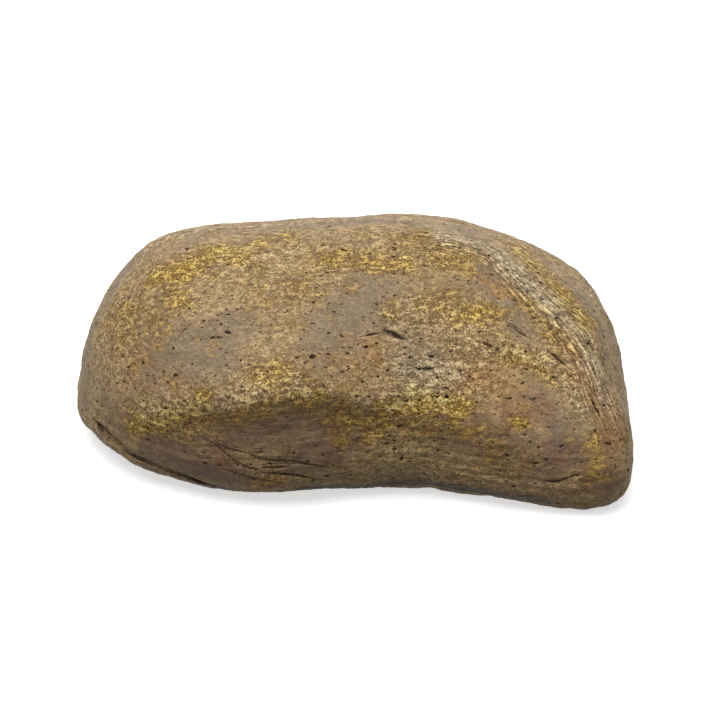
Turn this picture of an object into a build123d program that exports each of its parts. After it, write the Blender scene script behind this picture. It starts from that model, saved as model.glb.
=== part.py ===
from build123d import *
import math
import os

# Fake stone that hides a spare key: a cast stone, and below it a moulded key tray with a sliding cover.
#
# Frame: millimetres, +Z up. The stone rests on z = 0 with its long side along X, its front face towards -Y
# and its low, rounded end towards -X. The origin lies under the middle of its bounding box.
#
# The stone is cast in resin with a pocket in its flat underside. The moulded tray is seated in the pocket
# and held by four self-tapping screws. A cover slides along the tray's rails and out under the low end.

# --- Driving dimensions ------------------------------------------------------------------------------

# The stone, over all
ROCK_LENGTH = 115.0
ROCK_DEPTH = 80.0
ROCK_HEIGHT = 45.0

# Where the tray's middle lies under the stone
TRAY_X = 3.0
TRAY_Y = 2.0

# The space for the key, inside the tray
CHAMBER_LENGTH = 62.0
CHAMBER_WIDTH = 28.0
CHAMBER_DEPTH = 14.0
CHAMBER_CORNER = 5.0
CHAMBER_BEVEL = 2.0
DRAFT_ANGLE = 1.5

# The moulded tray
TRAY_WALL = 1.6
FLANGE_THICKNESS = 2.0
FLANGE_BORDER = 0.8
FLANGE_CORNER = 3.0
END_LAND = 11.0
RAIL_WALL = 1.6
LIP_THICKNESS = 1.1
STOP_THICKNESS = 2.0
DETENT_LENGTH = 14.0
DETENT_WIDTH = 1.2
DETENT_HEIGHT = 0.2
DETENT_INSET = 2.6

# The sliding cover
COVER_WIDTH = 38.0
COVER_THICKNESS = 2.0
COVER_CORNER = 2.5
COVER_EDGE_BEVEL = 0.4
GROUND_CLEARANCE = 0.8
TONGUE_WIDTH = 2.0
TONGUE_THICKNESS = 1.0
SCOOP_LENGTH = 22.0
SCOOP_WIDTH = 18.0
SCOOP_DEPTH = 1.0
SCOOP_SLOPE_ANGLE = 20.0
SCOOP_INSET = 8.0
GRIP_RIB_COUNT = 5
GRIP_RIB_WIDTH = 1.2
GRIP_RIB_HEIGHT = 0.7
GRIP_RIB_PITCH = 3.4

# The self-tapping screws
SCREW_SHANK_RADIUS = 1.1
SCREW_HEAD_RADIUS = 2.2
SCREW_HEAD_HEIGHT = 1.1
SCREW_LENGTH = 9.0
SCREW_SPACING_Y = 24.0
SLOT_WIDTH = 0.7
SLOT_DEPTH = 0.6

# Clearances
SLIDE_GAP = 0.25
POCKET_GAP = 0.4
SCREW_GAP = 0.08
CHANNEL_GAP = 0.6

# --- The stone's cross-sections ----------------------------------------------------------------------
#
# Each row is one cross-section, from the low end to the steep end. The rows are an even turn apart on a
# half circle over the stone's length, so they lie close together at the ends, where it rounds off.
#   front    how far its front ridge stands forward, percent of ROCK_DEPTH
#   back     how far its back stands out, percent of ROCK_DEPTH
#   crown    where its highest line lies across the depth, percent of ROCK_DEPTH
#   top      the height of that line, percent of ROCK_HEIGHT
#   ridge    the height of the front ridge, percent of ROCK_HEIGHT
#   tail     the height of the back's fullest line, percent of ROCK_HEIGHT
#   belly    the height of the underside's lowest line, percent of ROCK_HEIGHT
ROCK_SECTIONS = [
    # front  back  crown  top  ridge  tail  belly
    (-5.0, 5.0, -1.0, 23.0, 18.5, 18.5, 14.0),
    (-15.5, 18.0, -1.0, 43.5, 25.0, 24.0, 9.5),
    (-28.0, 32.5, -2.0, 70.0, 33.5, 30.0, 5.0),
    (-38.0, 42.5, -3.0, 91.0, 42.0, 34.0, 0.0),
    (-45.5, 48.5, -3.0, 96.0, 54.0, 36.0, -4.0),
    (-48.5, 49.8, -2.0, 98.0, 58.0, 38.0, -5.0),
    (-45.0, 49.8, -1.5, 100.0, 55.0, 38.0, -5.0),
    (-43.5, 48.5, -1.0, 99.0, 46.0, 38.0, -5.0),
    (-47.0, 45.0, -2.5, 94.0, 35.5, 36.0, -5.0),
    (-49.3, 41.0, -5.0, 85.0, 28.5, 32.5, -5.0),
    (-49.6, 34.0, -9.0, 72.5, 25.0, 26.0, -4.0),
    (-45.5, 20.0, -16.0, 50.0, 22.5, 21.0, 3.0),
    (-36.0, -10.0, -22.0, 23.0, 18.5, 18.5, 14.0),
]

# How square each quarter of a cross-section is: 2 is an ellipse, more is squarer, less is flatter
FRONT_TOP_EXPONENT = 1.7
BACK_TOP_EXPONENT = 1.75
BACK_BELOW_EXPONENT = 2.8
FRONT_BELOW_EXPONENT = 3.6
POINTS_PER_QUARTER = 8
BAND_COUNT = 44

# Long mounds and hollows over the stone's top, each round a line of its plan: where the line starts and
# ends and how far the mound reaches from it, percent of ROCK_LENGTH along X and of ROCK_DEPTH along Y,
# and how high it rises, percent of ROCK_HEIGHT, below nothing for a hollow
ROCK_MOUNDS = [
    # from x, y    to x, y    reach  rise
    (18.0, -1.0, 46.0, -41.0, 3.9, 2.2),  # the rib over the steep end
    (25.5, -13.5, 43.5, -45.0, 4.4, -2.6),  # the hollow beside it
    (22.0, -31.0, 39.0, -40.0, 3.2, 1.2),  # the fold below the hollow
    (9.0, -37.5, 17.5, -38.0, 7.5, 1.8),  # the bulge over the brow
    (36.0, 8.0, 46.0, -10.0, 5.0, -1.2),  # the hollow behind the rib
    (-38.0, -8.0, -30.0, 4.0, 8.0, 1.0),  # the shoulder of the low end
    (-20.0, 24.0, 4.0, 30.0, 7.0, -1.6),  # a hollow in the back slope
    (12.0, 20.0, 28.0, 34.0, 5.5, 1.6),  # a rib in the back slope
]

# --- Sizes that follow -------------------------------------------------------------------------------

# Heights, from the ground up
COVER_TOP = GROUND_CLEARANCE + COVER_THICKNESS
FLANGE_BOTTOM = COVER_TOP + SLIDE_GAP
FLANGE_TOP = FLANGE_BOTTOM + FLANGE_THICKNESS
TONGUE_BOTTOM = COVER_TOP - TONGUE_THICKNESS
LIP_TOP = TONGUE_BOTTOM - SLIDE_GAP
LIP_BOTTOM = LIP_TOP - LIP_THICKNESS
CHAMBER_TOP = FLANGE_BOTTOM + CHAMBER_DEPTH
TUB_TOP = CHAMBER_TOP + TRAY_WALL

# Half widths, from the middle out
COVER_BODY_HALF = COVER_WIDTH / 2.0 - TONGUE_WIDTH
LIP_EDGE = COVER_BODY_HALF + SLIDE_GAP
RAIL_INSIDE = COVER_WIDTH / 2.0 + SLIDE_GAP
RAIL_OUTSIDE = RAIL_INSIDE + RAIL_WALL
FLANGE_WIDTH = 2.0 * (RAIL_OUTSIDE + FLANGE_BORDER)

# Along the tray
FLANGE_LENGTH = CHAMBER_LENGTH + 2.0 * END_LAND
TRAY_LEFT = TRAY_X - FLANGE_LENGTH / 2.0
TRAY_RIGHT = TRAY_X + FLANGE_LENGTH / 2.0
STOP_FACE = TRAY_RIGHT - STOP_THICKNESS
COVER_RIGHT = STOP_FACE - SLIDE_GAP
COVER_LENGTH = COVER_RIGHT - TRAY_LEFT
SCREW_SPACING_X = CHAMBER_LENGTH + END_LAND
DETENT_X = TRAY_LEFT + DETENT_INSET


# --- Helpers -----------------------------------------------------------------------------------------


def quarter(start, end, along_z_first, square):
    """Points of a superellipse quarter from start up to, but not with, end.

    The curve leaves start along Z where along_z_first is True, and along Y where it is False.
    """
    points = []
    for step in range(POINTS_PER_QUARTER):
        turn = math.radians(90.0 * step / POINTS_PER_QUARTER)
        reach = (math.cos(turn) ** square + math.sin(turn) ** square) ** (-1.0 / square)
        slow = 1.0 - reach * math.cos(turn)
        fast = reach * math.sin(turn)
        y_share, z_share = (slow, fast) if along_z_first else (fast, slow)
        y = start[0] + (end[0] - start[0]) * y_share
        z = start[1] + (end[1] - start[1]) * z_share
        points.append((y, z))
    return points


def mound_rise(along, across):
    """How far the mounds and hollows raise the stone's top at this place of its plan."""
    rise = 0.0
    for start_x, start_y, end_x, end_y, reach, height in ROCK_MOUNDS:
        start = Vector(start_x * ROCK_LENGTH, start_y * ROCK_DEPTH) / 100.0
        run = Vector(end_x * ROCK_LENGTH, end_y * ROCK_DEPTH) / 100.0 - start
        step = Vector(along, across) - start
        share = min(max(step.dot(run) / run.dot(run), 0.0), 1.0)
        gap = (step - run * share).length * 100.0 / (reach * ROCK_LENGTH)
        rise += height * ROCK_HEIGHT / 100.0 * math.exp(-gap * gap)
    return rise


def section_curve(along, front, back, crown, top, ridge, tail, belly):
    """The closed, smooth outline of the stone's cross-section at along, in its own Y and Z."""
    depth = ROCK_DEPTH / 100.0
    height = ROCK_HEIGHT / 100.0
    ridge_point = (front * depth, ridge * height)
    crown_point = (crown * depth, top * height)
    tail_point = (back * depth, tail * height)
    belly_point = (crown * depth, belly * height)
    points = []
    for across, up in quarter(ridge_point, crown_point, True, FRONT_TOP_EXPONENT):
        share = (up - ridge_point[1]) / (crown_point[1] - ridge_point[1])
        points.append((across, up + share * mound_rise(along, across)))
    for across, up in quarter(crown_point, tail_point, False, BACK_TOP_EXPONENT):
        share = (up - tail_point[1]) / (crown_point[1] - tail_point[1])
        points.append((across, up + share * mound_rise(along, across)))
    points += quarter(tail_point, belly_point, True, BACK_BELOW_EXPONENT)
    points += quarter(belly_point, ridge_point, False, FRONT_BELOW_EXPONENT)
    even_steps = list(range(len(points) + 1))
    return Edge.make_spline(points, periodic=True, parameters=even_steps)


def blended_section(place):
    """The seven sizes of the cross-section at this place in the list, smooth from row to row."""
    last = len(ROCK_SECTIONS) - 1
    row = min(int(place), last - 1)
    share = place - row
    here, after = ROCK_SECTIONS[row], ROCK_SECTIONS[row + 1]
    before = ROCK_SECTIONS[max(row - 1, 0)]
    beyond = ROCK_SECTIONS[min(row + 2, last)]
    sizes = []
    for p0, p1, p2, p3 in zip(before, here, after, beyond):
        bend = (2 * p0 - 5 * p1 + 4 * p2 - p3) + (3 * p1 - p0 - 3 * p2 + p3) * share
        sizes.append(p1 + 0.5 * share * ((p2 - p0) + share * bend))
    return sizes


os.makedirs("parts", exist_ok=True)

# Planes on the tray's middle line: one flat, looking up, and one upright, looking along the slide
tray_plane = Plane((TRAY_X, TRAY_Y, 0.0))
slide_plane = Plane(origin=(TRAY_LEFT, TRAY_Y, 0.0), x_dir=(0, 1, 0), z_dir=(1, 0, 0))

# --- The stone ---------------------------------------------------------------------------------------

# All that is cut out of the stone: the ground below it, and the pocket that the tray is seated in
with BuildPart() as cut_out:
    with BuildSketch():
        Rectangle(2.0 * ROCK_LENGTH, 2.0 * ROCK_DEPTH)
    extrude(amount=-ROCK_HEIGHT)
    # The shallow recess that the tray's flange and rails lie in
    with BuildSketch(tray_plane):
        RectangleRounded(
            FLANGE_LENGTH + 2.0 * POCKET_GAP,
            FLANGE_WIDTH + 2.0 * POCKET_GAP,
            FLANGE_CORNER + POCKET_GAP,
        )
    extrude(amount=FLANGE_TOP)
    # The deep pocket round the tray's tub
    with BuildSketch(tray_plane):
        RectangleRounded(
            CHAMBER_LENGTH + 2.0 * (TRAY_WALL + POCKET_GAP),
            CHAMBER_WIDTH + 2.0 * (TRAY_WALL + POCKET_GAP),
            CHAMBER_CORNER + TRAY_WALL + POCKET_GAP,
        )
    extrude(amount=TUB_TOP + POCKET_GAP)
    # The channel that the cover slides out through, under the low end
    with BuildSketch(tray_plane):
        Rectangle(
            ROCK_LENGTH, COVER_WIDTH + 2.0 * CHANNEL_GAP, align=(Align.MAX, Align.CENTER)
        )
    extrude(amount=COVER_TOP + CHANNEL_GAP)
    # The pilot holes for the screws
    with BuildSketch(tray_plane.offset(FLANGE_BOTTOM)):
        with GridLocations(SCREW_SPACING_X, SCREW_SPACING_Y, 2, 2):
            Circle(SCREW_SHANK_RADIUS + SCREW_GAP)
    extrude(amount=SCREW_LENGTH + SCREW_GAP)

with BuildPart() as rock_shell:
    last_row = len(ROCK_SECTIONS) - 1
    for band in range(BAND_COUNT + 1):
        along = -math.cos(math.pi * band / BAND_COUNT) * ROCK_LENGTH / 2.0
        with BuildSketch(Plane.YZ.offset(along)):
            with BuildLine():
                add(section_curve(along, *blended_section(last_row * band / BAND_COUNT)))
            make_face()
    loft(ruled=True)
    add(cut_out.part, mode=Mode.SUBTRACT)
rock_shell.part.label = "rock_shell"
export_step(rock_shell.part, "parts/rock_shell.step")

# --- The key tray ------------------------------------------------------------------------------------

# The key's space, tapered so that the tray leaves its mould, with bevelled edges
with BuildPart() as key_space:
    with BuildSketch(tray_plane.offset(FLANGE_BOTTOM)):
        RectangleRounded(CHAMBER_LENGTH, CHAMBER_WIDTH, CHAMBER_CORNER)
    extrude(amount=CHAMBER_DEPTH, taper=DRAFT_ANGLE)
    chamfer(key_space.edges().group_by(Axis.Z)[-1], length=CHAMBER_BEVEL)

with BuildPart() as key_tray:
    # The tub round the key's space
    with BuildSketch(tray_plane.offset(FLANGE_BOTTOM)):
        RectangleRounded(
            CHAMBER_LENGTH + 2.0 * TRAY_WALL,
            CHAMBER_WIDTH + 2.0 * TRAY_WALL,
            CHAMBER_CORNER + TRAY_WALL,
        )
    extrude(amount=TUB_TOP - FLANGE_BOTTOM)
    chamfer(key_tray.edges().group_by(Axis.Z)[-1], length=CHAMBER_BEVEL)
    # The flange
    with BuildSketch(tray_plane.offset(FLANGE_BOTTOM)):
        RectangleRounded(FLANGE_LENGTH, FLANGE_WIDTH, FLANGE_CORNER)
    extrude(amount=FLANGE_THICKNESS)
    add(key_space.part, mode=Mode.SUBTRACT)
    # The two rails, each with a lip that carries one side of the cover
    with BuildSketch(slide_plane):
        with BuildLine():
            Polyline(
                (LIP_EDGE, LIP_BOTTOM),
                (RAIL_OUTSIDE, LIP_BOTTOM),
                (RAIL_OUTSIDE, FLANGE_BOTTOM),
                (RAIL_INSIDE, FLANGE_BOTTOM),
                (RAIL_INSIDE, LIP_TOP),
                (LIP_EDGE, LIP_TOP),
                close=True,
            )
        make_face()
        mirror(about=Plane.YZ)
    extrude(amount=FLANGE_LENGTH)
    # The stop across the far end of the rails
    with BuildSketch(tray_plane.offset(LIP_BOTTOM)):
        with Locations((FLANGE_LENGTH / 2.0, 0.0)):
            Rectangle(STOP_THICKNESS, 2.0 * RAIL_OUTSIDE, align=(Align.MAX, Align.CENTER))
    extrude(amount=FLANGE_BOTTOM - LIP_BOTTOM)
    # The low ridge that clicks into the cover when it is shut
    with BuildSketch(tray_plane.offset(FLANGE_BOTTOM)):
        with Locations((DETENT_X - TRAY_X, 0.0)):
            SlotOverall(DETENT_LENGTH, DETENT_WIDTH, rotation=90.0)
    extrude(amount=-DETENT_HEIGHT)
    # The screw holes, each with a seat for the head
    with Locations(Plane((TRAY_X, TRAY_Y, FLANGE_BOTTOM), z_dir=(0, 0, -1))):
        with GridLocations(SCREW_SPACING_X, SCREW_SPACING_Y, 2, 2):
            CounterBoreHole(
                radius=SCREW_SHANK_RADIUS + SCREW_GAP,
                counter_bore_radius=SCREW_HEAD_RADIUS + SCREW_GAP,
                counter_bore_depth=SCREW_HEAD_HEIGHT + SCREW_GAP,
                depth=FLANGE_THICKNESS + TRAY_WALL,
            )
    # The rails and the stop end within the flange's rounded outline
    with BuildSketch(tray_plane):
        RectangleRounded(FLANGE_LENGTH, FLANGE_WIDTH, FLANGE_CORNER)
    extrude(amount=TUB_TOP, mode=Mode.INTERSECT)
key_tray.part.label = "key_tray"
export_step(key_tray.part, "parts/key_tray.step")

# --- The sliding cover -------------------------------------------------------------------------------

with BuildPart() as sliding_cover:
    # The plate, with a tongue along each side
    with BuildSketch(slide_plane):
        with BuildLine():
            Polyline(
                (0.0, GROUND_CLEARANCE),
                (COVER_BODY_HALF, GROUND_CLEARANCE),
                (COVER_BODY_HALF, TONGUE_BOTTOM),
                (COVER_WIDTH / 2.0, TONGUE_BOTTOM),
                (COVER_WIDTH / 2.0, COVER_TOP),
                (0.0, COVER_TOP),
                close=True,
            )
        make_face()
        mirror(about=Plane.YZ)
    extrude(amount=COVER_LENGTH)
    # Its rounded corners, and a bevel round its outer face
    with BuildSketch(tray_plane):
        with Locations(((COVER_RIGHT + TRAY_LEFT) / 2.0 - TRAY_X, 0.0)):
            RectangleRounded(COVER_LENGTH, COVER_WIDTH, COVER_CORNER)
    extrude(amount=COVER_TOP, mode=Mode.INTERSECT)
    chamfer(sliding_cover.edges().group_by(Axis.Z)[0], length=COVER_EDGE_BEVEL)
    # The thumb scoop in the outer face, and the grip ribs in it
    scoop_x = COVER_RIGHT - SCOOP_INSET - SCOOP_LENGTH / 2.0 - TRAY_X
    with BuildSketch(tray_plane.offset(GROUND_CLEARANCE)):
        with Locations((scoop_x, 0.0)):
            Ellipse(SCOOP_LENGTH / 2.0, SCOOP_WIDTH / 2.0)
    extrude(amount=SCOOP_DEPTH, taper=SCOOP_SLOPE_ANGLE, mode=Mode.SUBTRACT)
    with BuildSketch(tray_plane.offset(GROUND_CLEARANCE + SCOOP_DEPTH)):
        with Locations((scoop_x, 0.0)):
            with GridLocations(GRIP_RIB_PITCH, 0.0, GRIP_RIB_COUNT, 1):
                Rectangle(GRIP_RIB_WIDTH, SCOOP_WIDTH / 2.0)
    extrude(amount=-GRIP_RIB_HEIGHT)
    # The groove that takes the tray's ridge
    with BuildSketch(tray_plane.offset(COVER_TOP)):
        with Locations((DETENT_X - TRAY_X, 0.0)):
            SlotOverall(
                DETENT_LENGTH + 2.0 * SLIDE_GAP, DETENT_WIDTH + 2.0 * SLIDE_GAP, rotation=90.0
            )
    extrude(amount=-DETENT_HEIGHT, mode=Mode.SUBTRACT)
sliding_cover.part.label = "sliding_cover"
export_step(sliding_cover.part, "parts/sliding_cover.step")

# --- The screws --------------------------------------------------------------------------------------

with BuildPart() as tray_screw:
    # Half of a screw's outline, its flat head down and its end blunt, turned about its axis
    with BuildSketch(Plane.XZ):
        with BuildLine():
            Polyline(
                (0.0, 0.0),
                (SCREW_HEAD_RADIUS, 0.0),
                (SCREW_HEAD_RADIUS, SCREW_HEAD_HEIGHT),
                (SCREW_SHANK_RADIUS, SCREW_HEAD_HEIGHT),
                (SCREW_SHANK_RADIUS, SCREW_LENGTH),
                (0.0, SCREW_LENGTH),
                close=True,
            )
        make_face()
    revolve(axis=Axis.Z)
    # The driver's slot in the head
    with BuildSketch(Plane.XY):
        Rectangle(2.0 * SCREW_HEAD_RADIUS, SLOT_WIDTH)
    extrude(amount=SLOT_DEPTH, mode=Mode.SUBTRACT)

with BuildPart() as tray_screws:
    with Locations(tray_plane.offset(FLANGE_BOTTOM)):
        with GridLocations(SCREW_SPACING_X, SCREW_SPACING_Y, 2, 2):
            add(tray_screw.part)
tray_screws.part.label = "tray_screws"
export_step(tray_screws.part, "parts/tray_screws.step")
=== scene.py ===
# The looks of a fake stone that hides a spare key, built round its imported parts.
# Metres, +Z up. The stone rests on z = 0, its long side along X and its front towards -Y.
import itertools
import math
from types import SimpleNamespace

import bmesh
import bpy
import numpy as np
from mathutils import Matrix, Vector
from mathutils.bvhtree import BVHTree
from mathutils.kdtree import KDTree


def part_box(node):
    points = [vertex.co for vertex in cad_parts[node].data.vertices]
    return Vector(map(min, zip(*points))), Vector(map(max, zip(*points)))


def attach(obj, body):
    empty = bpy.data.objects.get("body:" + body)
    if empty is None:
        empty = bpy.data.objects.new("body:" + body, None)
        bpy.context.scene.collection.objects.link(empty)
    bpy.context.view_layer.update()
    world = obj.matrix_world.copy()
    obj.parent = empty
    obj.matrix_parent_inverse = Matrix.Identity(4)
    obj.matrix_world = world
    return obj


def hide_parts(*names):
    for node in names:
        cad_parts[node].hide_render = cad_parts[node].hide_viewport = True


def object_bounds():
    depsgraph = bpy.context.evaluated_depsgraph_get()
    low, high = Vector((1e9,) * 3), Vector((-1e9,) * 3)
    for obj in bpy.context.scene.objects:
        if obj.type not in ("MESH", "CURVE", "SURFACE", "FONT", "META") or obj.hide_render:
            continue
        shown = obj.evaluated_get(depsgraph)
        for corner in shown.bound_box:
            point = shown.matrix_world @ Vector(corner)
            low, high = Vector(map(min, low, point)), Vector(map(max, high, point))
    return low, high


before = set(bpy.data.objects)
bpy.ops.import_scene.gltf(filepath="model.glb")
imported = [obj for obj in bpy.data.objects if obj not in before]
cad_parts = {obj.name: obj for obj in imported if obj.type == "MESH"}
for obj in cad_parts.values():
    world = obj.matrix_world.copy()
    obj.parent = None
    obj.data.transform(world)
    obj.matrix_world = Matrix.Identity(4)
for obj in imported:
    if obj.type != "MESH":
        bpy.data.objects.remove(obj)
cad_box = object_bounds()

MM = 0.001

# --- The camera, where the photograph was taken ------------------------------------------------------

PHOTO_PIXELS = 720.0
SENSOR_WIDTH = 36.0
VIEW_ELEVATION = math.radians(29.0)
VIEW_DISTANCE = 0.70
VIEW_TARGET = Vector((0.0, 0.0, 0.020))
FOCAL_LENGTH = 166.8
SHIFT_X = 0.0123
SHIFT_Y = -0.0268
VIEW_POINT = VIEW_TARGET + VIEW_DISTANCE * Vector((0.0, -math.cos(VIEW_ELEVATION), math.sin(VIEW_ELEVATION)))


def add_camera():
    """The camera, looking along +Y and down on the stone."""
    lens = bpy.data.cameras.new("photo_camera")
    lens.sensor_width = SENSOR_WIDTH
    lens.lens = FOCAL_LENGTH
    lens.shift_x = SHIFT_X
    lens.shift_y = SHIFT_Y
    lens.clip_start = 0.05
    camera = bpy.data.objects.new("photo_camera", lens)
    camera.location = VIEW_POINT
    camera.rotation_euler = (math.pi / 2.0 - VIEW_ELEVATION, 0.0, 0.0)
    bpy.context.scene.collection.objects.link(camera)
    bpy.context.scene.camera = camera


def photo_ray(pixel_x, pixel_y):
    """The direction from the camera through a pixel of the 720 x 720 photograph."""
    side = (pixel_x / PHOTO_PIXELS - 0.5 + SHIFT_X) * SENSOR_WIDTH / FOCAL_LENGTH
    rise = (0.5 + SHIFT_Y - pixel_y / PHOTO_PIXELS) * SENSOR_WIDTH / FOCAL_LENGTH
    ahead = Vector((0.0, math.cos(VIEW_ELEVATION), -math.sin(VIEW_ELEVATION)))
    above = Vector((0.0, math.sin(VIEW_ELEVATION), math.cos(VIEW_ELEVATION)))
    return (ahead + Vector((1.0, 0.0, 0.0)) * side + above * rise).normalized()


# --- Sizes of the casting ----------------------------------------------------------------------------

GRID_STEPS = 200  # cells along each of the six sides of the grid
HEART = Vector((0.0, -0.001, 0.017))  # all of the stone's outside can be seen from this point inside it
GRID_REACH = Vector((0.060, 0.042, 0.025))
RAY_START = 0.2  # metres from the heart, outside the stone
MISSED_REACH = 0.03  # taken where a ray finds no stone
FLOOR_REACH = 0.06  # the furthest that the skin under the tray goes
OPENING_EDGE = 0.3 * MM
FILLING_ROUNDS = 300
FAIRING_ROUNDS = 130
LINE_STEPS = 5  # pieces of line between two points of a path
KEPT_FACES = 180000

PIT_TRIES = 2600
PIT_SPACING = 1.6 * MM
PIT_SCALE = 0.36  # half of a placed pit's size, and a little less, as its rim is soft
PIT_LEAN = np.array((1.0, 0.0, 0.05))
LEFT_PIT_LEAN = np.array((0.9, 0.1, 0.35))
LEFT_PITS_END = 260  # pixel column
SCATTERED_PIT = 0.16 * MM  # half the width of a middling one
HIDDEN_CRACKS = 16
HIDDEN_CRACK_POINTS = 5
CRACK_MARK = 0.22  # half of the dark mark in a crack, which is partly dark paint and partly painted shade, as a share of the crack's width
CRACK_NEAR = 1.5 * MM
RAW_DEPTH = 2.2 * MM  # how far under the skin the unpainted resin starts
HIDDEN_PATCHES = {"ochre": 13.0, "grey": 21.0, "rust": 17.0, "cream": 11.0}  # sizes in mm
HIDDEN_PATCH_SEED = 21

POCKET_GAP = 0.4 * MM
CHANNEL_GAP = 0.6 * MM
FLANGE_TOP = 5.05 * MM
FLANGE_CORNER = 3.0 * MM
TUB_CORNER = 6.6 * MM
TUB_END_LAND = 9.4 * MM
TUB_SIDE_LAND = 6.05 * MM
SCREW_HEAD_RADIUS = 2.2 * MM
PILOT_RADIUS = 1.18 * MM
CORNER_STEPS = 8
CUT_OVERRUN = 10.0 * MM

# --- What the photograph shows on the stone, as paths of pixels --------------------------------------

# Broad forms: path, reach in mm, rise in mm, which is less than 0 in a hollow
FORMS = [
    (((452, 243), (493, 253), (524, 278), (544, 298), (575, 333), (595, 373), (620, 430)), 4.0, 0.35),
    (((500, 285), (522, 315), (545, 350), (572, 385), (600, 430)), 5.0, -0.35),
    (((478, 340), (520, 348), (552, 364), (575, 392), (598, 425)), 3.0, 0.25),
    (((405, 365), (428, 368), (450, 372)), 8.0, 0.25),
    (((150, 418), (190, 410), (240, 400), (300, 392), (350, 398)), 4.0, 0.8),
    (((380, 405), (430, 407), (470, 422), (510, 440)), 5.0, 0.6),
    (((215, 432), (300, 424), (360, 430)), 7.0, -1.1),
    (((300, 372), (345, 384)), 7.0, 0.3),
    (((586, 290), (604, 318), (616, 350), (625, 392)), 6.0, -0.7),
    (((556, 264), (572, 272), (584, 286)), 4.0, -0.4),
    (((133, 262), (150, 250), (172, 240)), 6.0, -0.5),
]
RIB_PATH = (
    (430, 236), (450, 238), (470, 243), (490, 251), (505, 261), (519, 275), (533, 290),
    (548, 305), (566, 322), (582, 342), (596, 368), (606, 395), (616, 425),
)
RIB_REACH = 6.5 * MM

# Cracks and ledges: path, width in mm, depth in mm
CRACKS = [
    (((95, 420), (104, 432), (114, 443), (126, 452), (138, 459)), 2.6, 1.5),
    (((120, 449), (143, 461), (165, 471), (190, 479), (215, 486), (245, 491)), 1.6, 1.2),
    (((104, 426), (116, 440), (127, 449)), 1.0, 0.8),
    (((203, 441), (219, 452), (230, 461), (244, 467), (262, 471)), 0.7, 0.8),
    (((212, 445), (230, 452), (248, 456), (262, 459)), 0.5, 0.35),
    (((264, 468), (275, 468), (287, 467)), 0.6, 1.0),
    (((255, 460), (280, 462), (310, 465), (330, 468)), 0.6, 0.3),
    (((262, 473), (290, 475), (322, 479)), 0.7, 0.45),
    (((225, 470), (250, 477), (275, 481)), 0.6, 0.3),
    (((207, 338), (215, 337), (223, 337)), 0.5, 0.6),
    (((509, 322), (519, 329), (528, 336)), 0.6, 0.8),
    (((519, 266), (529, 273), (537, 281)), 0.6, 0.8),
    (((482, 342), (494, 347)), 0.6, 0.6),
    (((543, 481), (557, 482), (568, 478), (578, 474)), 0.6, 0.5),
    (((588, 391), (595, 404), (604, 423)), 0.6, 0.45),
    (((549, 350), (557, 357), (569, 368)), 0.8, 0.5),
    (((420, 369), (428, 369), (437, 367)), 0.5, 0.5),
    (((362, 336), (372, 334), (384, 332)), 0.5, 0.5),
    (((386, 330), (395, 335), (404, 339)), 1.1, 0.7),
    (((452, 243), (470, 247), (490, 253)), 0.5, 0.25),
    (((463, 225), (472, 228)), 0.5, 0.5),
    (((177, 338), (182, 331), (188, 327)), 0.5, 0.4),
]

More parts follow.
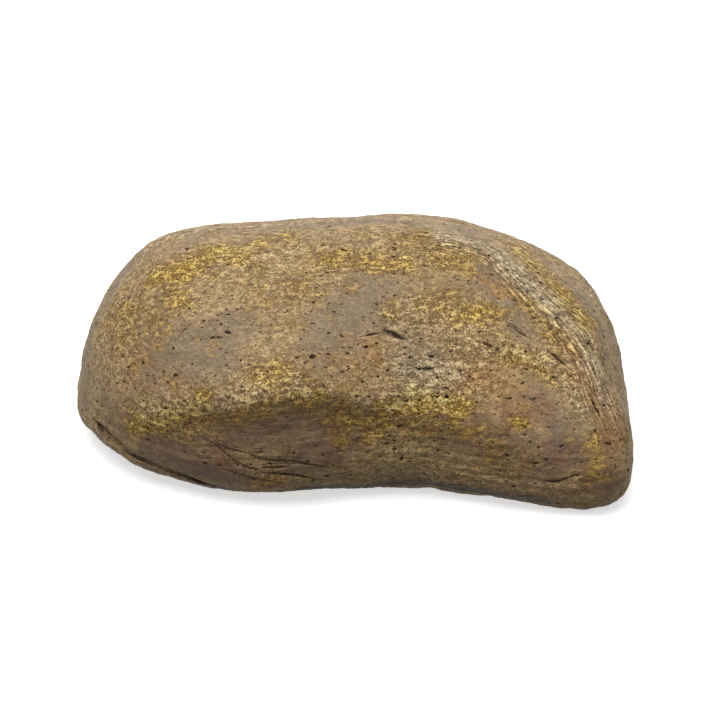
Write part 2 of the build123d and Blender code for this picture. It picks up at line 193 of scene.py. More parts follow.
# Pits: pixel, length and width in mm, depth in mm
PITS = [
    (276, 242, 1.5, 1.0, 0.9), (272, 240, 0.8, 0.6, 0.6), (259, 254, 0.7, 0.5, 0.6),
    (267, 253, 0.7, 0.5, 0.6), (117, 332, 0.8, 0.5, 0.6), (127, 331, 0.5, 0.4, 0.4),
    (139, 334, 1.0, 0.5, 0.6), (123, 338, 0.9, 0.5, 0.6), (131, 313, 0.9, 0.5, 0.5),
    (154, 297, 0.7, 0.5, 0.6), (164, 289, 0.5, 0.4, 0.5), (177, 279, 0.6, 0.5, 0.5),
    (141, 343, 0.5, 0.4, 0.4), (156, 347, 0.7, 0.5, 0.6), (244, 302, 0.8, 0.5, 0.5),
    (256, 308, 0.8, 0.6, 0.6), (251, 324, 0.7, 0.4, 0.5), (220, 349, 0.9, 0.5, 0.6),
    (207, 268, 0.6, 0.4, 0.4), (128, 375, 0.7, 0.5, 0.6), (167, 361, 0.6, 0.5, 0.5),
    (192, 364, 0.7, 0.5, 0.5), (241, 360, 0.9, 0.4, 0.5), (226, 365, 0.8, 0.5, 0.5),
    (185, 401, 0.6, 0.5, 0.5), (167, 408, 1.2, 0.7, 0.7), (160, 413, 0.8, 0.6, 0.6),
    (148, 428, 1.0, 0.7, 0.7), (148, 440, 0.9, 0.6, 0.6), (142, 454, 0.7, 0.4, 0.4),
    (254, 479, 0.8, 0.6, 0.6), (262, 429, 0.9, 0.7, 0.7), (351, 240, 0.7, 0.6, 0.5),
    (309, 243, 0.5, 0.4, 0.5), (290, 228, 0.6, 0.4, 0.4), (327, 272, 0.9, 0.5, 0.5),
    (306, 284, 0.8, 0.4, 0.5), (395, 295, 0.9, 0.5, 0.6), (377, 304, 1.0, 0.5, 0.6),
    (364, 286, 0.5, 0.4, 0.5), (374, 323, 0.7, 0.6, 0.6), (341, 304, 0.6, 0.4, 0.4),
    (311, 311, 0.6, 0.4, 0.4), (285, 312, 0.9, 0.4, 0.4), (304, 329, 0.7, 0.5, 0.5),
    (342, 347, 0.5, 0.4, 0.4), (303, 350, 0.6, 0.4, 0.4), (271, 350, 0.7, 0.4, 0.4),
    (268, 372, 0.7, 0.5, 0.6), (326, 368, 0.9, 0.4, 0.5), (349, 369, 0.7, 0.4, 0.5),
    (362, 382, 1.0, 0.5, 0.6), (378, 377, 0.8, 0.7, 0.6), (419, 369, 1.1, 0.7, 0.8),
    (356, 396, 0.9, 0.6, 0.6), (419, 400, 0.9, 0.7, 0.8), (437, 397, 1.0, 0.7, 0.8),
    (447, 397, 1.2, 0.8, 1.0), (469, 388, 0.6, 0.5, 0.5), (393, 418, 0.7, 0.5, 0.6),
    (326, 428, 0.7, 0.5, 0.6), (359, 440, 0.9, 0.4, 0.5), (342, 453, 1.6, 0.4, 0.5),
    (380, 458, 0.8, 0.4, 0.5), (411, 459, 0.6, 0.4, 0.4), (499, 397, 0.6, 0.4, 0.4),
    (524, 397, 0.8, 0.5, 0.6), (525, 435, 0.7, 0.6, 0.6), (589, 440, 0.6, 0.5, 0.5),
    (577, 476, 0.9, 0.6, 0.6), (605, 472, 0.6, 0.4, 0.5), (475, 274, 0.7, 0.3, 0.4),
    (502, 284, 0.8, 0.3, 0.4), (499, 297, 0.6, 0.4, 0.4), (482, 288, 0.7, 0.3, 0.4),
    (469, 228, 0.6, 0.3, 0.4),
]

# Washes of colour and of painted shade: path, reach in mm, strength
OCHRE = [
    (((158, 277), (180, 272), (200, 262), (222, 250), (238, 258)), 4.5, 0.85),
    (((176, 285), (180, 300)), 4.5, 0.5),
    (((265, 243), (290, 236)), 4.5, 0.5),
    (((330, 262), (350, 258), (380, 264), (400, 262)), 4.5, 0.65),
    (((392, 240), (420, 240), (445, 250), (460, 256)), 6.5, 0.5),
    (((300, 290), (262, 285)), 7.0, 0.35),
    (((425, 305), (450, 300)), 4.0, 0.5),
    (((440, 312), (462, 318), (490, 312)), 4.4, 0.65),
    (((396, 300), (388, 312)), 3.0, 0.45),
    (((135, 428), (165, 420), (190, 410), (203, 400)), 3.6, 0.95),
    (((190, 425), (230, 420), (262, 408)), 5.0, 0.6),
    (((270, 380), (285, 392), (330, 405), (345, 418)), 5.0, 0.65),
    (((345, 425), (375, 428), (400, 412)), 5.0, 0.7),
    (((396, 405), (420, 402), (440, 404), (458, 408)), 4.2, 1.1),
    (((400, 422), (440, 424), (480, 440)), 4.2, 0.5),
    (((508, 350), (535, 360), (553, 377)), 2.8, 0.7),
    (((520, 250), (545, 272), (568, 300), (580, 322)), 5.5, 0.75),
    (((530, 300), (548, 318), (565, 345)), 3.6, 0.5),
    (((519, 422), (523, 423)), 1.5, 0.95),
    (((110, 320), (150, 325)), 9.0, 0.35),
    (((245, 490), (275, 482), (300, 488)), 3.0, 0.5),
    (((480, 455), (520, 460)), 5.0, 0.4),
    (((590, 445), (600, 480)), 5.0, 0.4),
]
GREY = [
    (((170, 350), (200, 350), (240, 330)), 11.0, 0.8),
    (((200, 290), (225, 295)), 7.0, 0.5),
    (((330, 330), (350, 315), (380, 290)), 10.0, 0.75),
    (((400, 370), (435, 366)), 9.0, 0.5),
    (((84, 400), (88, 345), (108, 300), (130, 262)), 4.5, 0.8),
    (((300, 226), (400, 222), (470, 232)), 3.5, 0.8),
    (((570, 285), (592, 315), (605, 350)), 4.5, 0.8),
    (((540, 400), (575, 440)), 6.5, 0.55),
    (((480, 270), (500, 300), (525, 335)), 4.5, 0.55),
    (((180, 245), (235, 232)), 3.0, 0.4),
]
RUST = [
    (((556, 330), (575, 355), (590, 385), (600, 420)), 3.2, 0.5),
    (((475, 380), (500, 385), (520, 405)), 9.0, 0.6),
    (((590, 380), (605, 410), (615, 440)), 6.5, 0.55),
    (((560, 460), (590, 470), (612, 462)), 6.0, 0.45),
    (((130, 360), (160, 375)), 10.0, 0.35),
    (((300, 345), (350, 362)), 9.0, 0.3),
    (((215, 452), (225, 462)), 2.4, 0.8),
    (((375, 355), (368, 345)), 3.0, 0.6),
    (((485, 280), (500, 290)), 3.5, 0.45),
    (((340, 262), (330, 255)), 5.0, 0.3),
    (((270, 300), (300, 330)), 9.0, 0.25),
]
# Plum: partly the stone's own colour, partly painted shade on the lower front and right faces
PLUM_AND_SHADE = [
    (((215, 440), (300, 430), (350, 440), (300, 458)), 8.5, 0.8),
    (((150, 447), (180, 458), (230, 475)), 6.5, 0.95),
    (((105, 400), (120, 425)), 6.0, 0.5),
    (((460, 430), (500, 448), (545, 468)), 9.0, 0.75),
    (((555, 453), (592, 460), (602, 480)), 7.0, 0.9),
    (((535, 400), (560, 430)), 6.0, 0.45),
    (((272, 244), (282, 240)), 2.5, 0.7),
    (((440, 425), (452, 428)), 3.0, 0.6),
    (((375, 425), (385, 440)), 3.5, 0.5),
    (((440, 490), (520, 495), (570, 490)), 5.0, 0.5),
]
CREAM = [
    (((440, 237), (470, 243), (490, 251), (519, 275), (548, 305)), 4.2, 0.75),
    (((548, 305), (566, 322), (582, 342), (596, 368), (606, 400)), 3.8, 0.65),
    (((500, 350), (530, 357), (556, 372), (585, 410)), 2.6, 0.5),
    (((400, 395), (430, 385), (446, 392)), 4.0, 0.6),
    # Along the top rim the cream is partly dry-brushed and partly a painted sheen
    (((140, 255), (200, 230), (300, 222), (400, 220)), 3.5, 0.6),
    (((395, 318), (430, 330), (460, 345)), 7.0, 0.30),
    (((408, 362), (430, 366), (450, 376)), 6.0, 0.65),
    (((150, 416), (190, 407), (245, 396), (300, 388)), 3.4, 0.45),
]
# Painted shade: near-black strokes under the front's undercut, along the crevice at the lower left and in two
# cracks
PAINTED_SHADE_STROKES = [
    (((300, 489), (340, 486), (380, 484), (430, 484), (475, 491), (545, 501)), 2.6, 1.0),
    (((99, 427), (119, 447), (143, 460), (179, 475), (238, 490), (280, 494)), 1.3, 1.0),
    (((205, 442), (230, 461), (262, 471)), 0.6, 0.5),
    (((386, 330), (404, 339)), 1.2, 0.6),
]

# --- Numbers over a cloud of points ------------------------------------------------------------------

SEED = 41
draws = np.random.default_rng(SEED)
SLOPES = draws.normal(size=(4096, 3))
SLOPES /= np.linalg.norm(SLOPES, axis=1)[:, None]
SCRAMBLE = (73856093, 19349663, 83492791)  # primes that pick a slope for each cell
SEED_STEP = 37.7  # how far apart two seeds look into the same noise
WAVE_GAIN = 1.6  # brings the noise to about -1 to 1


def waves(points, size, seed=0):
    """Smooth noise from about -1 to 1. Its lumps are size metres across, or a size for each axis."""
    place = points / np.asarray(size) + SEED_STEP * seed
    cell = np.floor(place).astype(np.int64)
    inside = place - cell
    ease = inside**3 * (inside * (inside * 6.0 - 15.0) + 10.0)
    total = np.zeros(len(points))
    for corner in itertools.product((0, 1), repeat=3):
        step = cell + corner
        key = np.bitwise_xor.reduce(step * SCRAMBLE, axis=1)
        push = ((inside - corner) * SLOPES[key % len(SLOPES)]).sum(1)
        share = np.where(np.array(corner) == 1, ease, 1.0 - ease).prod(1)
        total += push * share
    return WAVE_GAIN * total


def smooth_step(low, high, value):
    """0 below low, 1 above high, and a soft rise between them."""
    share = np.clip((value - low) / (high - low), 0.0, 1.0)
    return share * share * (3.0 - 2.0 * share)


def flowing(path):
    """A smooth line through the points of a path."""
    if len(path) < 3:
        return path
    through = [2.0 * path[0] - path[1], *path, 2.0 * path[-1] - path[-2]]
    line = []
    for before, start, end, after in zip(through, through[1:], through[2:], through[3:]):
        slope, bend = end - before, 2.0 * before - 5.0 * start + 4.0 * end - after
        twist = 3.0 * start - before - 3.0 * end + after
        for step in range(LINE_STEPS):
            share = step / LINE_STEPS
            line.append(start + 0.5 * (slope * share + bend * share**2 + twist * share**3))
    line.append(path[-1])
    return line


def beside_path(points, path, reach, facing=None):
    """Each point's distance from a path, its share of the way along it, and its place across it.

    Points more than the reach away count as infinitely far.
    """
    line = flowing(path)
    near = np.nonzero(((points > np.min(line, 0) - reach) & (points < np.max(line, 0) + reach)).all(1))[0]
    here = points[near]
    gap = np.full(len(here), np.inf)
    along = np.zeros(len(here))
    across = np.zeros(len(here))
    passed = 0.0
    for start, end in zip(line[:-1], line[1:]):
        run = end - start
        length = np.linalg.norm(run)
        share = np.clip((here - start) @ run / length**2, 0.0, 1.0)
        offset = here - start - share[:, None] * run
        distance = np.linalg.norm(offset, axis=1)
        closer = distance < gap
        gap[closer] = distance[closer]
        along[closer] = passed + share[closer] * length
        if facing is not None:
            side = (np.cross(run, offset) * facing[near]).sum(1) / length
            across[closer] = side[closer]
        passed += length
    spread = [np.full(len(points), fill) for fill in (np.inf, 0.0, 0.0)]
    for whole, part in zip(spread, (gap, along, across)):
        whole[near] = part
    return (*spread, passed)


# --- The casting -------------------------------------------------------------------------------------


def ball_grid():
    """Directions and square cells of a grid that wraps a ball evenly."""
    grid = bmesh.new()
    bmesh.ops.create_cube(grid, size=2.0)
    bmesh.ops.subdivide_edges(grid, edges=grid.edges[:], cuts=GRID_STEPS - 1, use_grid_fill=True)
    places = np.array([vertex.co for vertex in grid.verts])
    cells = np.array([[vertex.index for vertex in face.verts] for face in grid.faces])
    pairs = np.array([[vertex.index for vertex in edge.verts] for edge in grid.edges])
    grid.free()
    places = np.tan(places * math.pi / 4.0)
    places /= np.linalg.norm(places, axis=1)[:, None]
    return places, cells, pairs


def neighbour_mean(values, pairs):
    """The mean of each point's neighbours."""
    first, second = pairs.T
    total = np.bincount(first, values[second], len(values)) + np.bincount(second, values[first], len(values))
    return total / np.maximum(np.bincount(pairs.ravel(), minlength=len(values)), 1)


def outward(points, cells):
    """The direction that each point of the skin faces."""
    corners = points[cells]
    faces = np.cross(corners[:, 2] - corners[:, 0], corners[:, 3] - corners[:, 1])
    normals = np.zeros_like(points)
    for corner in range(4):
        for axis in range(3):
            normals[:, axis] += np.bincount(cells[:, corner], faces[:, axis], len(points))
    return normals / (np.linalg.norm(normals, axis=1)[:, None] + 1e-12)


def solid_tree(name):
    """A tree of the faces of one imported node, for rays."""
    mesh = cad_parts[name].data
    corners = [vertex.co for vertex in mesh.vertices]
    faces = [polygon.vertices[:] for polygon in mesh.polygons]
    return BVHTree.FromPolygons(corners, faces)


def skin_of_stone(directions, pairs):
    """The stone's outside as one closed skin, as if nothing were cut out of its underside."""
    tree = solid_tree("rock_shell")
    tray_low, tray_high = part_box("key_tray")
    heart = np.array(HEART)
    rays = directions * np.array(GRID_REACH)
    rays /= np.linalg.norm(rays, axis=1)[:, None]
    reach = np.empty(len(rays))
    for index, ray in enumerate(rays):
        ray = Vector(ray)
        hit = tree.ray_cast(HEART + RAY_START * ray, -ray)[0]
        reach[index] = (hit - HEART).length if hit else MISSED_REACH
    points = heart + rays * reach[:, None]
    edge = POCKET_GAP + OPENING_EDGE
    beside = (points[:, 1] > tray_low.y - edge) & (points[:, 1] < tray_high.y + edge)
    under = (points[:, 0] < tray_high.x + edge) & (rays[:, 2] < 0.0)
    inside = (points[:, 0] > tray_low.x - edge) | (points[:, 2] < FLANGE_TOP)
    open_below = beside & under & inside
    flat = np.where(rays[:, 2] < 0.0, -HEART.z / np.minimum(rays[:, 2], -1e-9), np.inf)
    under_tray = open_below & (points[:, 0] > tray_low.x - edge)
    reach[under_tray] = np.minimum(flat[under_tray], FLOOR_REACH)
    nearby = pairs[open_below[pairs].any(1)]
    for _ in range(FILLING_ROUNDS):
        reach[open_below] = neighbour_mean(reach, nearby)[open_below]
    once = evened(reach, pairs)
    reach = once + evened(reach - once, pairs)
    return heart + rays * np.minimum(reach, flat)[:, None]


def evened(values, pairs):
    """Values on the grid with their small changes smoothed out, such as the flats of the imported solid."""
    for _ in range(FAIRING_ROUNDS):
        values = values + 0.5 * (neighbour_mean(values, pairs) - values)
    return values


def on_stone(tree, pixels):
    """The points of the skin that the photograph shows at these pixels."""
    found = []
    for pixel_x, pixel_y in pixels:
        hit = tree.ray_cast(VIEW_POINT, photo_ray(pixel_x, pixel_y))[0]
        if hit is not None:
            found.append(np.array(hit))
    if len(found) == 1:
        found.append(found[0] + 1e-6)
    return found


def wash(tree, points, strokes, wobble):
    """How strongly a wash of colour covers each point."""
    cover = np.zeros(len(points))
    for pixels, reach, strength in strokes:
        path = on_stone(tree, pixels)
        if path:
            gap = beside_path(points, path, 3.0 * reach * MM)[0] / (reach * MM) * (1.0 + wobble)
            cover = np.maximum(cover, strength * (1.0 - smooth_step(0.0, 1.3, gap)))
    return cover


def all_pits(tree, points, normals):
    """Every pit: its centre, its long and short directions, its half sizes and its depth."""
    pits = []
    for pixel_x, pixel_y, long_size, wide_size, depth in PITS:
        found = on_stone(tree, [(pixel_x, pixel_y)])
        if found:
            lean = LEFT_PIT_LEAN if pixel_x < LEFT_PITS_END else PIT_LEAN
            facing = np.array(tree.find_nearest(Vector(found[0]))[1])
            half_sizes = PIT_SCALE * long_size * MM, PIT_SCALE * wide_size * MM
            pits.append((found[0], facing, lean, *half_sizes, depth * MM))
    thick = smooth_step(-0.5, 0.6, waves(points, 14.0 * MM, 11))
    chance = (0.10 + thick) / (0.10 + thick).sum()
    taken = [pit[0] for pit in pits]
    for index in draws.choice(len(points), PIT_TRIES, replace=False, p=chance):
        lean = np.array((1.0, 0.25 * draws.normal(), 0.45 * draws.normal()))
        wide = SCATTERED_PIT * math.exp(0.35 * draws.normal())
        long = wide * draws.uniform(1.0, 2.4)
        depth = wide * draws.uniform(0.8, 1.6)
        if np.linalg.norm(np.array(taken) - points[index], axis=1).min() > PIT_SPACING:
            taken.append(points[index])
            pits.append((points[index], normals[index], lean, long, wide, depth))
    framed = []
    for centre, facing, lean, half_long, half_wide, depth in pits:
        long_way = lean - (lean @ facing) * facing
        long_way = long_way / np.linalg.norm(long_way)
        framed.append((centre, long_way, np.cross(facing, long_way), half_long, half_wide, depth))
    return framed


def all_cracks(tree, points, normals):
    """Every crack as its path, width and depth: those of the photograph, then some on the hidden side."""
    cracks = []
    for pixels, width, depth in CRACKS:
        path = on_stone(tree, pixels)
        if path:
            cracks.append((path, width * MM, depth * MM))
    hidden = np.nonzero((normals[:, 1] > 0.25) & (points[:, 2] > 4.0 * MM))[0]
    for index in draws.choice(hidden, HIDDEN_CRACKS, replace=False):
        place = points[index]
        way = np.array((1.0, 0.1 * draws.normal(), 0.25 * draws.normal()))
        path = []
        for _ in range(HIDDEN_CRACK_POINTS):
            path.append(np.array(tree.find_nearest(Vector(place))[0]))
            way = way + 0.22 * draws.normal(size=3)
            place = path[-1] + draws.uniform(0.8, 2.4) * MM * way
        cracks.append((path, draws.uniform(0.5, 0.9) * MM, draws.uniform(0.4, 0.9) * MM))
    return cracks


def pressed(points, pits):
    """How deep the pits are at each point."""
    tree = KDTree(len(points))
    for index, point in enumerate(points):
        tree.insert(point, index)
    tree.balance()
    sink = np.zeros(len(points))
    for centre, long_way, short_way, half_long, half_wide, depth in pits:
        near = [index for _, index, _ in tree.find_range(centre, 1.6 * half_long)]
        if near:
            offset = points[near] - centre
            share = np.hypot(offset @ long_way / half_long, offset @ short_way / half_wide)
            sink[near] = np.maximum(sink[near], depth * (1.0 - smooth_step(0.3, 1.3, share)))
    return sink


def tapered(along, length):
    """How wide a crack is along its length: 1 in its middle, and less towards its ends."""
    return np.sin(np.pi * np.clip(along / length, 0.04, 0.96)) ** 0.5


def beside_rib(tree, points, normals):
    """How near each point is to the ribbed ridge, where 1 is on it, and its place along and across it."""
    gap, along, across, _ = beside_path(points, on_stone(tree, RIB_PATH), 3.0 * RIB_REACH, normals)
    return np.exp(-((gap / RIB_REACH) ** 2)), along, across


def cast_stone():
    """The stone's skin as points and cells, and for its finish the smooth skin's tree, pits and cracks."""
    directions, cells, pairs = ball_grid()
    points = skin_of_stone(directions, pairs)
    normals = outward(points, cells)
    tree = BVHTree.FromPolygons(points.tolist(), cells.tolist())
    rise = np.zeros(len(points))
    for pixels, reach, height in FORMS:
        gap = beside_path(points, on_stone(tree, pixels), 3.0 * reach * MM)[0]
        rise += height * MM * np.exp(-((gap / (reach * MM)) ** 2))

    pits = all_pits(tree, points, normals)
    cracks = all_cracks(tree, points, normals)
    sink = pressed(points, pits)
    wobble = 0.5 * waves(points, 3.0 * MM, 5) + 0.3 * waves(points, 1.2 * MM, 6)
    for path, width, depth in cracks:
        gap, along, _, length = beside_path(points, path, 2.0 * width)
        taper = tapered(along, length)
        share = gap / (0.5 * width * taper) * (1.0 + 0.4 * wobble)
        cut = (1.0 - smooth_step(0.2, 1.4, share)) * (1.0 + 0.4 * wobble)
        sink = np.maximum(sink, depth * taper * cut)

    lumps = 0.40 * waves(points, 17.0 * MM, 1) + 0.28 * waves(points, 7.0 * MM, 2)
    knobs = 0.17 * waves(points, 3.1 * MM, 3) + 0.10 * waves(points, 1.5 * MM, 4)
    rough = 0.5 + 0.5 * waves(points, 12.0 * MM, 8)
    crumbs = (0.03 + 0.06 * rough) * waves(points, 0.8 * MM, 7)
    layers = waves(points, np.array((16.0, 9.0, 1.3)) * MM, 9)
    low_front = smooth_step(0.0, 0.5, -normals[:, 1]) * (1.0 - smooth_step(0.2, 0.6, normals[:, 2]))
    ledges = 0.20 * low_front * layers
    ribbed, along, across = beside_rib(tree, points, normals)
    strands = np.stack((along / (9.0 * MM), across / (1.2 * MM), np.zeros(len(points))), axis=1)
    strands = 0.18 * ribbed * waves(strands, 1.0, 12)
    height = rise + MM * (lumps + knobs + crumbs + ledges + strands) - sink
    cast = points + normals * height[:, None]
    cast[:, 2] = np.maximum(cast[:, 2], 0.0)
    return cast, cells, tree, pits, cracks


# --- Meshes and cutting ------------------------------------------------------------------------------


def new_piece(name, points, faces):
    """A mesh object in the scene."""
    mesh = bpy.data.meshes.new(name)
    mesh.from_pydata([tuple(point) for point in points], [], [tuple(face) for face in faces])
    mesh.update()
    piece = bpy.data.objects.new(name, mesh)
    bpy.context.scene.collection.objects.link(piece)
    return piece


def applied(piece):
    """Makes the piece's modifiers part of its mesh."""
    bpy.context.view_layer.update()
    finished = piece.evaluated_get(bpy.context.evaluated_depsgraph_get())
    mesh = bpy.data.meshes.new_from_object(finished)
    piece.modifiers.clear()
    piece.data = mesh


def rounded_block(name, low, high, corner):
    """A block with upright edges rounded to the radius corner, or a pin where corner is half its width."""
    outline = []
    corners = ((high.x, high.y), (low.x, high.y), (low.x, low.y), (high.x, low.y))
    for turn, (corner_x, corner_y) in enumerate(corners):
        centre_x = corner_x - math.copysign(corner, corner_x - (low.x + high.x) / 2.0)
        centre_y = corner_y - math.copysign(corner, corner_y - (low.y + high.y) / 2.0)
        for step in range(CORNER_STEPS + 1):
            angle = math.radians(90.0 * (turn + step / CORNER_STEPS))
            outline.append((centre_x + corner * math.cos(angle), centre_y + corner * math.sin(angle)))
    count = len(outline)
    points = [(x, y, low.z) for x, y in outline] + [(x, y, high.z) for x, y in outline]
    faces = [list(range(count))[::-1], list(range(count, 2 * count))]
    for index in range(count):
        after = (index + 1) % count
        faces.append([index, after, count + after, count + index])
    return new_piece(name, points, faces)


def pocket_blocks():
    """What is cut out of the stone: places for the flange, the tub, the cover's slide and the screws."""
    tray_low, tray_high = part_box("key_tray")
    cover_low, cover_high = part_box("sliding_cover")
    screw_low, screw_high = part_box("tray_screws")
    gap = Vector((POCKET_GAP, POCKET_GAP, 0.0))
    bottom = -CUT_OVERRUN

    low, high = tray_low - gap, tray_high + gap
    low.z, high.z = bottom, FLANGE_TOP
    blocks = [rounded_block("recess_cut", low, high, FLANGE_CORNER)]

    inset = Vector((TUB_END_LAND, TUB_SIDE_LAND, 0.0))
    low, high = tray_low + inset - gap, tray_high - inset + gap
    low.z, high.z = bottom, tray_high.z + POCKET_GAP
    blocks.append(rounded_block("tub_cut", low, high, TUB_CORNER))

    low = Vector((cad_box[0][0] - CUT_OVERRUN, cover_low.y - CHANNEL_GAP, bottom))
    high = Vector((0.0, cover_high.y + CHANNEL_GAP, cover_high.z + CHANNEL_GAP))
    blocks.append(rounded_block("channel_cut", low, high, CHANNEL_GAP))

    around = Vector((PILOT_RADIUS, PILOT_RADIUS, 0.0))
    for centre_x in (screw_low.x + SCREW_HEAD_RADIUS, screw_high.x - SCREW_HEAD_RADIUS):
        for centre_y in (screw_low.y + SCREW_HEAD_RADIUS, screw_high.y - SCREW_HEAD_RADIUS):
            low = Vector((centre_x, centre_y, bottom)) - around
            high = Vector((centre_x, centre_y, screw_high.z + POCKET_GAP)) + around
            blocks.append(rounded_block("pilot_cut", low, high, PILOT_RADIUS * 0.999))
    return blocks


def stone_casting():
    """The cast stone with its pocket, and on its points what its finish needs to know."""
    points, cells, tree, pits, cracks = cast_stone()
    stone = new_piece("stone_casting", points, cells)
    thin = stone.modifiers.new("thin", "DECIMATE")
    thin.ratio = KEPT_FACES / (2.0 * len(cells))
    applied(stone)
    blocks = pocket_blocks()
    for block in blocks:
        cut = stone.modifiers.new(block.name, "BOOLEAN")
        cut.operation = "DIFFERENCE"
        cut.solver = "MANIFOLD"
        cut.object = block
    applied(stone)
    for block in blocks:
        bpy.data.objects.remove(block)
    stone.data.polygons.foreach_set("use_smooth", [True] * len(stone.data.polygons))
    stone.data.set_sharp_from_angle(angle=math.radians(70.0))
    paint_points(stone.data, tree, pits, cracks)
    return stone


def washes_on(tree, points, normals):
    """How strongly each wash of colour and of painted shade covers each point, with some patches on the
    hidden side.
    """
    wobble = 0.45 * waves(points, 4.0 * MM, 5) + 0.35 * waves(points, 1.6 * MM, 6)
    strokes = {"ochre": OCHRE, "grey": GREY, "rust": RUST, "plum_and_shade": PLUM_AND_SHADE, "cream": CREAM}
    covers = {name: wash(tree, points, paths, wobble) for name, paths in strokes.items()}
    # The painted shade under the front and in the crevices is kept off the flat underside
    off_the_flat = smooth_step(-0.95, -0.75, normals[:, 2])
    covers["painted_shade"] = wash(tree, points, PAINTED_SHADE_STROKES, 0.4 * wobble) * off_the_flat
    hidden = smooth_step(0.15, 0.5, normals[:, 1])
    for seed, (name, size) in enumerate(HIDDEN_PATCHES.items(), HIDDEN_PATCH_SEED):
        patches = smooth_step(0.05, 0.5, waves(points, size * MM, seed))
        covers[name] = np.maximum(covers[name], 0.7 * hidden * patches)
    return covers


def beside_pits(points, pits):
    """Each point's distance from its nearest pit, and its place over that pit, where 1 is the pit's rim."""
    centres = KDTree(len(pits))
    for index, pit in enumerate(pits):
        centres.insert(pit[0], index)
    centres.balance()
    offsets = np.zeros((len(points), 3))
    gaps = np.zeros(len(points))
    for row, point in enumerate(points):
        _, index, gaps[row] = centres.find(point)
        centre, long_way, short_way, half_long, half_wide, _ = pits[index]
        offset = point - centre
        offsets[row, 0] = offset @ long_way / half_long
        offsets[row, 1] = offset @ short_way / half_wide
    return gaps, offsets


def beside_cracks(points, normals, cracks):
    """Each point's distance from its nearest crack, and its place across it, where 1 is its mark's edge."""
    gaps = np.full(len(points), CRACK_NEAR)
    places = np.full(len(points), 9.0)
    for path, width, _ in cracks:
        gap, along, across, length = beside_path(points, path, CRACK_NEAR, normals)
        closer = gap < gaps
        gaps[closer] = gap[closer]
        places[closer] = across[closer] / (CRACK_MARK * width * tapered(along, length)[closer])
    return gaps, places


def paint_points(mesh, tree, pits, cracks):
    """Keeps on the mesh's points the washes of colour and painted shade, and how each point lies to its
    nearest pit and crack.

    Offsets are kept rather than masks, because they stay true between points, and so the finish can draw a
    pit or a crack much finer than the mesh.
    """
    points = np.array([vertex.co for vertex in mesh.vertices])
    normals = np.array([vertex.normal for vertex in mesh.vertices])
    values = washes_on(tree, points, normals)
    skin_gap = np.array([tree.find_nearest(Vector(point))[3] for point in points])
    values["core"] = (skin_gap > RAW_DEPTH).astype(float)
    pit_gap, values["pit_offset"] = beside_pits(points, pits)
    crack_gap, values["crack_across"] = beside_cracks(points, normals, cracks)
    values["pit_gap"] = pit_gap / MM
    values["crack_gap"] = crack_gap / MM
    values["ribbed"], along, across = beside_rib(tree, points, normals)
    values["rib_place"] = np.stack((along / MM, across / MM, np.zeros(len(points))), axis=1)
    for name, value in values.items():
        kind, field = ("FLOAT", "value") if value.ndim == 1 else ("FLOAT_VECTOR", "vector")
        layer = mesh.attributes.new(name, kind, "POINT")
        layer.data.foreach_set(field, value.astype(np.float32).ravel())


# --- Materials ---------------------------------------------------------------------------------------


class Socket:
    """An output of a material's node. Arithmetic on it adds Math nodes."""

    def __init__(self, finish, output):
        self.finish = finish
        self.output = output

    def math(self, operation, *others, clamp=False):
        inputs = dict(enumerate((self, *others)))
        return self.finish.node("ShaderNodeMath", {"operation": operation, "use_clamp": clamp}, inputs)

    def __add__(self, other):
        return self.math("ADD", other)

    __radd__ = __add__

    def __mul__(self, other):
        return self.math("MULTIPLY", other)

    __rmul__ = __mul__

    def __sub__(self, other):
        return self.math("SUBTRACT", other)

    def __rsub__(self, other):
        return (self * -1.0) + other

    def clamped(self):
        return self.math("ADD", 0.0, clamp=True)

    def size(self):
        """How long a vector is, or how large a number is without its sign."""
        if self.output.type == "VECTOR":
            return self.finish.node("ShaderNodeVectorMath", {"operation": "LENGTH"}, {0: self}, "Value")
        return self.math("ABSOLUTE")

    def rising(self, low, high):
        """0 where this is below low, 1 above high, and soft between."""
        settings = {"interpolation_type": "SMOOTHSTEP"}
        inputs = {"Value": self, "From Min": low, "From Max": high}
        return self.finish.node("ShaderNodeMapRange", settings, inputs)


